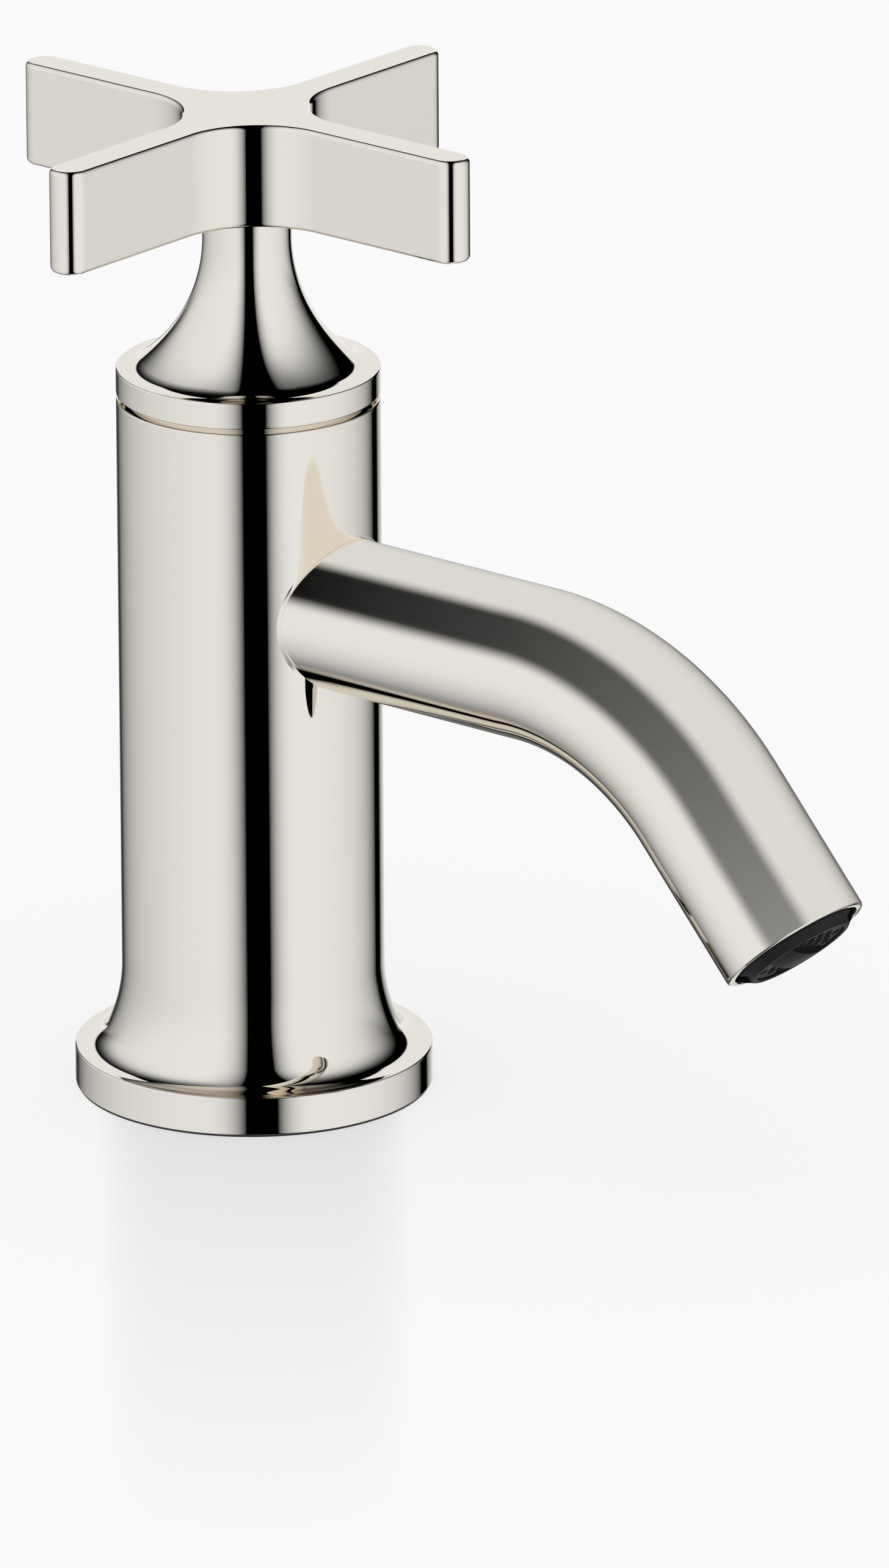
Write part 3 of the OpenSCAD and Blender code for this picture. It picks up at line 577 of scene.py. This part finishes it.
def pushRing(step, centre=None, scale=1.0):
    bpy.ops.mesh.extrude_region_move(TRANSFORM_OT_translate={"value": step})
    if centre is not None:
        bpy.ops.transform.resize(value=(scale, scale, scale), center_override=centre)


def bendRing(values, angle):
    # with no window open the spin turns the other way
    centre = (0, -values["run"] * mm, (values["height"] - values["bendRadius"]) * mm)
    bpy.ops.mesh.spin(steps=values["bendSteps"], angle=-angle, center=centre, axis=(1, 0, 0))


def startTube(name, values, radius, start, steps):
    # a ring round the spout's line, pushed along the straight part and bent
    bpy.ops.object.select_all(action="DESELECT")
    bpy.ops.mesh.primitive_circle_add(vertices=steps, radius=radius * mm, rotation=(math.pi / 2, 0, 0),
                                      location=(0, -start * mm, values["height"] * mm))
    piece = bpy.context.object
    piece.name = piece.data.name = name
    placePiece(piece)
    editAll(piece)
    pushRing((0, (start - values["run"] + values["support"]) * mm, 0))
    pushRing((0, -values["support"] * mm, 0))
    bendRing(values, bendAngle)
    return piece


def makeSpout(values):
    # the ring goes out along the spout, round the lip of the nose, and back through the bore
    piece = startTube("spout", values, values["radius"], values["start"], values["roundSteps"])
    radius, bore, recess = values["radius"], values["bore"], values["recess"]
    nose, edge, lip = values["nose"], values["noseEdge"], values["innerEdge"]
    noseRound = arcPoints((nose - edge, radius - edge), edge, 90, 0, values["noseSteps"])
    lipRound = arcPoints((nose - lip, recess + lip), lip, 0, -90, values["lipSteps"])
    path = [(radius, 0), (radius, values["support"]), (radius, nose - edge - values["edgeSupport"])]
    path += [(r, a) for a, r in noseRound + lipRound]
    path += [(recess, nose - values["recessDepth"]), (bore, nose - values["recessDepth"]), (bore, 0)]
    start = [o * mm - f * nose * mm for o, f in zip(outlet, flow)]
    for (r0, a0), (r1, a1) in zip(path, path[1:]):
        centre = tuple(s + f * a1 * mm for s, f in zip(start, flow))
        pushRing(tuple(f * (a1 - a0) * mm for f in flow), centre, r1 / r0)
    bendRing(values, -bendAngle)
    pushRing((0, (values["run"] - values["start"]) * mm, 0))
    bpy.ops.mesh.select_all(action="DESELECT")
    bpy.ops.mesh.select_non_manifold()
    bpy.ops.mesh.bridge_edge_loops()
    weldAll()
    faceOutward()
    low, high = values["columnFrom"], values["columnTo"]
    cutAway(piece, rodCutter(values["columnRadius"], (0, 0, low), (0, 0, high), 256))
    smoothPiece(piece)
    finishPiece(piece, "polished_nickel", "tap", "spout_tube")


# painted reflection on the spout: the levels of a hood that only the spout's metal mirrors
hood = {
    "radius": 12.2, "start": 10, "steps": 144, "noseSteps": 12, "pastNose": 1,
    # the painted dark stripe the spout mirrors: from, to and softness, in degrees round the tube with 0 at its
    # top
    "band": (32.2, 67.6, 6),
    # the stripe's level at the nose, and how it rises from near the column
    "darkEnd": 0.32, "darkFrom": 20, "darkPower": 1.7,
    # the level above the stripe, its fall to the far side, and its least
    "top": 0.89, "topFall": 0.00044, "topLeast": 0.2,
    # the level below the stripe, where its fall begins, the fall, and its least
    "below": 0.97, "belowFrom": 84, "belowFall": 0.00055, "belowLeast": 0.1,
    "fade": (118, 126, -75, -85),   # where the hood becomes clear, on the left and on the right
    "inMirror": 1.1,                # level where the column mirrors the spout
    "near": 4.5,                    # only metal this close to the hood, in mm, mirrors it
}


def spoutLine(point, values):
    # how far along the spout a point lies, and its angle round the tube from the top, + towards the left
    x, y, z = (v / mm for v in point)
    if y > -values["run"]:
        return -y, math.degrees(math.atan2(-x, z - values["height"]))
    dy, dz = y + values["run"], z - values["height"] + values["bendRadius"]
    turn = math.atan2(-dy, dz)
    if turn < bendAngle:
        out = math.hypot(dy, dz) - values["bendRadius"]
        return values["run"] + values["bendRadius"] * turn, math.degrees(math.atan2(-x, out))
    along = dy * flow[1] + dz * flow[2]
    out = -dy * math.sin(bendAngle) + dz * math.cos(bendAngle) - values["bendRadius"]
    return values["run"] + values["bendRadius"] * bendAngle + along, math.degrees(math.atan2(-x, out))


def smoothStep(low, high, value):
    t = min(max((value - low) / (high - low), 0), 1)
    return t * t * (3 - 2 * t)


def shadeHood(piece, values, tube):
    # writes the hood's painted reflection level and its cover into its vertices, from where they lie along and
    # round the spout
    paintedReflection = piece.data.attributes.new("paintedReflection", "FLOAT", "POINT")
    cover = piece.data.attributes.new("cover", "FLOAT", "POINT")
    total = tube["run"] + tube["bendRadius"] * bendAngle + tube["nose"]
    start, end, soft = values["band"]
    left, leftEnd, right, rightEnd = values["fade"]
    for i, vertex in enumerate(piece.data.vertices):
        along, turn = spoutLine(vertex.co, tube)
        share = max(along - values["darkFrom"], 0) / (total - values["darkFrom"])
        dark = values["darkEnd"] * share ** values["darkPower"]
        inside = smoothStep(start - soft, start + soft, turn) * smoothStep(end + soft, end - soft, turn)
        if turn < start:
            light = max(values["top"] - min(turn, 0) ** 2 * values["topFall"], values["topLeast"])
        else:
            past = max(turn - values["belowFrom"], 0)
            light = max(values["below"] - past ** 2 * values["belowFall"], values["belowLeast"])
        paintedReflection.data[i].value = light + (dark - light) * inside
        farLeft, farRight = smoothStep(left, leftEnd, turn), smoothStep(-right, -rightEnd, -turn)
        cover.data[i].value = (1 - farLeft) * (1 - farRight)


def makeHood(values, tube):
    # painted reflection: a shaded hood close over the spout, seen only from inside and only in the polished
    # metal; its shading is the dark stripe and light sides that the spout mirrors
    piece = startTube("spoutHood", tube, values["radius"], values["start"], values["steps"])
    for part in range(values["noseSteps"]):
        pushRing(tuple(f * (tube["nose"] + values["pastNose"]) / values["noseSteps"] * mm for f in flow))
    bpy.ops.mesh.select_all(action="SELECT")
    bpy.ops.mesh.normals_make_consistent(inside=True)
    leaveEdit()
    shadeHood(piece, values, tube)
    material, tree = newMaterial("spoutHood")
    shade = addNode(tree, "ShaderNodeAttribute", {"attribute_name": "paintedReflection"}).outputs["Fac"]
    cover = addNode(tree, "ShaderNodeAttribute", {"attribute_name": "cover"}).outputs["Fac"]
    rays = addNode(tree, "ShaderNodeLightPath").outputs
    again = addMath(tree, "GREATER_THAN", rays["Ray Depth"], 1.5)
    near = addMath(tree, "LESS_THAN", rays["Ray Length"], values["near"] * mm)
    # painted reflection: emission at the painted level, which the spout mirrors as its stripe
    cloth = addNode(tree, "ShaderNodeEmission", Color=studio["tent"] + (1.0,),
                    Strength=mixNumbers(tree, again, shade, values["inMirror"])).outputs[0]
    clear = addNode(tree, "ShaderNodeBsdfTransparent").outputs[0]
    inner = mixShaders(tree, addMath(tree, "MULTIPLY", cover, near), clear, cloth)
    outer = addNode(tree, "ShaderNodeNewGeometry").outputs["Backfacing"]
    addNode(tree, "ShaderNodeOutputMaterial", Surface=mixShaders(tree, outer, inner, clear))
    piece.data.materials.append(material)
    piece.visible_camera = piece.visible_diffuse = piece.visible_shadow = piece.visible_transmission = False


makeSpout(spout)
makeHood(hood, spout)
sayStage("spout is bent")


# aerator

aerator = {
    "turn": 46, "bore": 7.45, "insert": 7.9, "outside": 10.4, "ring": 10.1, "length": 11, "faceDepth": 0.5,
    "ledge": 0.65, "proud": 1.4, "lip": 8.1, "lipTurn": 55,
    "ringRound": 0.25, "lipRound": 0.45, "boreRound": 0.2,
    "slotAt": 8.5, "slotWidth": 6.6, "slotDepth": 1.4, "slotReach": 12, "slotTop": 4,
    "face": 1.1, "screen": 7.4, "screenBack": -0.7, "plate": 1.2, "faceRound": 0.12, "slack": 0.05,
    # the net's cells: width, walls, rows each way, cutting depth, edges, room at the rim and beside the bar
    "cell": 1.45, "wall": 0.35, "rows": 5, "cellDepth": 8, "cellEdge": 0.06, "rimRoom": 0.75, "barRoom": 0.15,
    # the blank bar across the net; the screen is turned with it
    "barWidth": 4.2, "barDome": 1.15, "barRadius": 7.1, "barAside": -0.9, "barTurn": 20,
    "barSunk": 0.3, "barLift": 0.02, "barCuts": 23, "barEdge": 0.12,
}
side = (1, 0, 0)
upAcross = (0, -math.sin(bendAngle), math.cos(bendAngle))
outletPlace = Matrix([[side[i], upAcross[i], flow[i], outlet[i] * mm] for i in range(3)] + [[0, 0, 0, 1]])
outletPlace = outletPlace @ Matrix.Rotation(math.radians(aerator["turn"]), 4, "Z")


def makeAeratorRing(values):
    back, face, ledge, proud = -values["length"], -values["faceDepth"], -values["ledge"], values["proud"]
    ringRound, lipRound, boreRound = (values[k] for k in ("ringRound", "lipRound", "boreRound"))
    turn = values["lipTurn"]
    section = [(values["insert"], back), (values["outside"], back), (values["outside"], face),
               (values["ring"], face)]
    section += arcPoints((values["ring"] - ringRound, 0.0), ringRound, 0, turn, 5)
    section += arcPoints((values["lip"], proud - lipRound), lipRound, turn, 90, 6)
    section += arcPoints((values["bore"] + boreRound, proud - boreRound), boreRound, 90, 180, 6)
    section += [(values["bore"], ledge), (values["insert"], ledge)]
    piece = turnPiece("aerator_ring", section, 128)
    half, near, far = values["slotWidth"] / 2, values["slotAt"], values["slotReach"]
    for low, high in ((near, far), (-far, -near)):
        cutAway(piece, boxAt("slot", (low, -half, -values["slotDepth"]), (high, half, values["slotTop"])))
    smoothPiece(piece, 32)
    placePiece(piece, outletPlace)
    finishPiece(piece, "black_plastic", "tap", "aerator_housing")


def cellCutters(values):
    # six-sided rods in rows, side by side, with none at the rim or under the bar
    cell, pitch = values["cell"], values["cell"] + values["wall"]
    row = pitch * math.sqrt(3) / 2
    reach = values["screen"] + values["slack"] - cell * values["rimRoom"]
    places = []
    for j in range(-values["rows"], values["rows"] + 1):
        for i in range(-values["rows"], values["rows"] + 1):
            x, y = (i + (0.5 if j % 2 else 0)) * pitch, j * row
            fromBar = abs(x - values["barAside"]) - (values["barWidth"] + cell) / 2
            if fromBar > values["barRoom"] and math.hypot(x, y) < reach:
                places.append((x * mm, y * mm, 0))
    bpy.ops.object.select_all(action="DESELECT")
    corner = cell / math.cos(math.pi / 6) / 2
    bpy.ops.mesh.primitive_cylinder_add(vertices=6, radius=corner * mm, depth=values["cellDepth"] * mm)
    first = bpy.context.object
    first.location = places[0]
    copies = []
    for place in places[1:]:
        copy = first.copy()
        copy.data = first.data.copy()
        copy.location = place
        bpy.context.scene.collection.objects.link(copy)
        copies.append(copy)
    cutters = joinPieces(first, copies)
    placePiece(cutters)
    return cutters


def makeBar(values):
    # the blank bar: narrowed towards its ends along a circle, and domed on top
    radius, dome, face, aside = values["barRadius"], values["barDome"], values["face"], values["barAside"]
    sphere, half = (radius ** 2 + dome ** 2) / (2 * dome), values["barWidth"] / 2
    top = face + values["barLift"]
    bar = boxAt("bar", (aside - half, -radius, face - values["barSunk"]), (aside + half, radius, top))
    editAll(bar)
    bpy.ops.mesh.subdivide(number_cuts=values["barCuts"])
    leaveEdit()
    for vertex in bar.data.vertices:
        x, y, z = (v / mm for v in vertex.co)
        y *= math.sqrt(max(radius ** 2 - x * x, 0)) / radius
        if z > face:
            lift = math.sqrt(max(sphere ** 2 - x * x - y * y, 0)) - (sphere - dome)
            z = top + max(lift, 0)
        vertex.co = (x * mm, y * mm, z * mm)
    roundEdges(bar, values["barEdge"], 3, 50)
    smoothPiece(bar, 40)
    return bar


def makeScreen(values):
    # a disc cut by a net of six-sided cells, with the blank bar across it
    face, back, edge, screen = (values[k] for k in ("face", "screenBack", "faceRound", "screen"))
    wide, low = values["insert"] - values["slack"], back - values["plate"]
    section = [(0, low), (wide, low), (wide, back), (screen, back)]
    section += arcPoints((screen - edge, face - edge), edge, 0, 90, 3) + [(0, face)]
    piece = turnPiece("aerator_screen", section, 96)
    cutAway(piece, cellCutters(values))
    roundEdges(piece, values["cellEdge"], 2, 50)
    bar = makeBar(values)
    smoothPiece(piece, 30)
    joinPieces(piece, [bar])
    placePiece(piece, outletPlace @ Matrix.Rotation(math.radians(values["barTurn"]), 4, "Z"))
    finishPiece(piece, "black_plastic", "tap", "outlet_screen")


makeAeratorRing(aerator)
makeScreen(aerator)
sayStage("aerator is in the nose")


# handle

gapSleeve = {"radius": 18.4, "shank": 16.97, "bore": 15.2, "bottom": 100.3, "step": 109.1, "top": 112.05}


def makeGapSleeve(values):
    bore, shank, radius = values["bore"], values["shank"], values["radius"]
    bottom, step, top = values["bottom"], values["step"], values["top"]
    section = [(bore, bottom), (shank, bottom), (shank, step), (radius, step), (radius, top), (bore, top)]
    piece = turnPiece("gap_ring", section)
    smoothPiece(piece)
    finishPiece(piece, "polished_nickel", "tap", "gap_sleeve")


bell = {
    "rim": 20, "bottom": 109.9, "top": 114.0, "edge": 0.3, "land": 0.5, "tightRadius": 5.2, "neck": 6.75,
    "flareTop": 134.3, "neckTop": 138.3, "flareSteps": 48, "screwBore": 2.75, "screwSeat": 131.0,
    "upperBore": 4.6, "boreStep": 123.3, "bore": 6.05, "recess": 112.7, "skirt": 18.75,
    "grubRadius": 2, "grubHeight": 116.5, "grubFrom": 3, "grubTo": 22,
}


def makeBell(values):
    rim, edge, neck, bottom, top = (values[k] for k in ("rim", "edge", "neck", "bottom", "top"))
    section = [(values["skirt"], bottom)]
    section += arcPoints((rim - edge, bottom + edge), edge, 270, 360, edgeSteps)
    section += arcPoints((rim - edge, top - edge), edge, 0, 90, edgeSteps)
    section += bellCurve(neck, values["flareTop"], rim - values["land"], top, values["tightRadius"],
                         values["flareSteps"])
    section += [(neck, values["neckTop"]), (values["screwBore"], values["neckTop"]),
                (values["screwBore"], values["screwSeat"]), (values["upperBore"], values["screwSeat"]),
                (values["upperBore"], values["boreStep"]), (values["bore"], values["boreStep"]),
                (values["bore"], values["recess"]), (values["skirt"], values["recess"])]
    piece = turnPiece("handle_bell", section)
    start, end = (0, values["grubFrom"], values["grubHeight"]), (0, values["grubTo"], values["grubHeight"])
    cutAway(piece, rodCutter(values["grubRadius"], start, end))
    smoothPiece(piece)
    finishPiece(piece, "polished_nickel", "handle", "handle_neck")


cross = {
    "span": 86.2, "width": 6, "height": 16, "fillet": 13, "bottom": 138.3, "edge": 0.8, "roundSteps": 40,
    "screwRadius": 2.5, "screwDepth": 10, "dowelAt": 4.7, "dowelRadius": 1.03, "dowelDepth": 3.6,
    "cutBelow": 2,
}


def makeCross(values):
    half, reach, fillet = values["width"] / 2, (values["span"] - values["width"]) / 2, values["fillet"]
    corner, steps = half + fillet, values["roundSteps"]
    armEnd = arcPoints((reach, 0), half, -90, 90, steps)
    quarter = armEnd + arcPoints((corner, corner), fillet, 270, 180, steps)
    outline = []
    for turn in range(4):
        c, s = round(math.cos(turn * math.pi / 2)), round(math.sin(turn * math.pi / 2))
        outline += [(x * c - y * s, x * s + y * c) for x, y in quarter]
    piece = drawLine("cross", withSupports(outline + outline[:1], 0.08), flat=True)
    weldAll()
    bpy.ops.transform.translate(value=(0, 0, values["bottom"] * mm))
    bpy.ops.mesh.edge_face_add()
    bpy.ops.mesh.extrude_region_move(TRANSFORM_OT_translate={"value": (0, 0, values["height"] * mm)})
    faceOutward()
    roundEdges(piece, values["edge"], 5, 60)
    bottom, start = values["bottom"], values["bottom"] - values["cutBelow"]
    cutAway(piece, rodCutter(values["screwRadius"], (0, 0, start), (0, 0, bottom + values["screwDepth"])))
    end = bottom + values["dowelDepth"]
    for x in (-values["dowelAt"], values["dowelAt"]):
        cutAway(piece, rodCutter(values["dowelRadius"], (x, 0, start), (x, 0, end), 32))
    smoothPiece(piece)
    piece.visible_glossy = False   # the other pieces mirror the studio, not the cross
    finishPiece(piece, "polished_nickel", "handle", "handle_cross")


makeGapSleeve(gapSleeve)
makeBell(bell)
makeCross(cross)
sayStage("handle is on")


# tail

tail = {
    "radius": 10.4775, "root": 9.32, "pitch": 1.8143, "bottom": -55, "top": 14, "plainFrom": -1.2,
    "upper": 10.4475, "slack": 0.02, "chamfer": 0.3, "shoulder": 0.9, "bore": 5.75,
    "socket": 12, "socketDepth": 10, "groove": (-33, -31.5), "gap": 0.5, "lowGap": 0.4,
    "crest": 0.151, "flank": 27.5, "steps": 48,
    # how deep the ridge's foot and its two ends lie in the core, and over how many radians the ends sink
    "sunk": 0.25, "endSunk": 0.12, "runOut": 1.8,
}


def windRidge(values, start, end):
    # one ridge of the thread, wound up the core between two heights, with both ends sinking into it
    root, radius, crest, steps = (values[k] for k in ("root", "radius", "crest", "steps"))
    foot = crest + (radius - root) * math.tan(math.radians(values["flank"]))
    inner, top = root - values["sunk"], start + 2 * foot
    profile = [(inner, start), (root, start), (radius, start + foot - crest), (radius, start + foot + crest),
               (root, top), (inner, top)]
    ridge = drawLine("ridge", profile)
    bpy.ops.mesh.select_all(action="SELECT")
    bpy.ops.mesh.edge_face_add()
    bpy.ops.mesh.delete(type="ONLY_FACE")
    leaveEdit()
    turns = int((end - start - 2 * foot) / values["pitch"])
    applyModifier(ridge, "SCREW", screw_offset=values["pitch"] * mm, angle=2 * math.pi, iterations=turns,
                  axis="Z", steps=steps, render_steps=steps)
    rings = len(ridge.data.vertices) // len(profile)
    tapered, deep = steps * values["runOut"] / (2 * math.pi), root - values["endSunk"]
    for i, vertex in enumerate(ridge.data.vertices):
        ring = i // len(profile)
        share = min(ring, rings - 1 - ring) / tapered
        out = math.hypot(vertex.co.x, vertex.co.y) / mm
        if share < 1 and out > deep:
            wanted = deep + (out - deep) * share
            vertex.co.x *= wanted / out
            vertex.co.y *= wanted / out
    editAll(ridge)
    bpy.ops.mesh.select_all(action="DESELECT")
    bpy.ops.mesh.select_non_manifold()
    bpy.ops.mesh.edge_face_add()
    faceOutward()
    return ridge


def makeTail(values):
    low, high, root, bore, gap = (values[k] for k in ("bottom", "top", "root", "bore", "gap"))
    plain, slack, chamfer, upper = (values[k] for k in ("plainFrom", "slack", "chamfer", "upper"))
    crest = values["radius"] - slack
    section = [(bore, low), (root - chamfer, low), (root, low + chamfer), (root, plain - values["shoulder"]),
               (crest, plain), (crest, -slack), (upper, -slack), (upper, high), (bore, high)]
    piece = turnPiece("tail", section, 144)
    bpy.ops.object.select_all(action="DESELECT")
    bpy.ops.mesh.primitive_cylinder_add(vertices=6, radius=values["socket"] / math.sqrt(3) * mm,
                                        depth=2 * values["socketDepth"] * mm, location=(0, 0, low * mm))
    socket = bpy.context.object
    placePiece(socket)
    cutAway(piece, socket)
    grooveLow, grooveHigh = values["groove"]
    for start, end in ((low + values["lowGap"], grooveLow - gap), (grooveHigh + gap, plain - gap)):
        combine(piece, windRidge(values, start, end), "UNION")
    smoothPiece(piece, 32, weighted=False)
    finishPiece(piece, "brass", "tap", "threaded_shank")


makeTail(tail)
sayStage("tail is threaded")
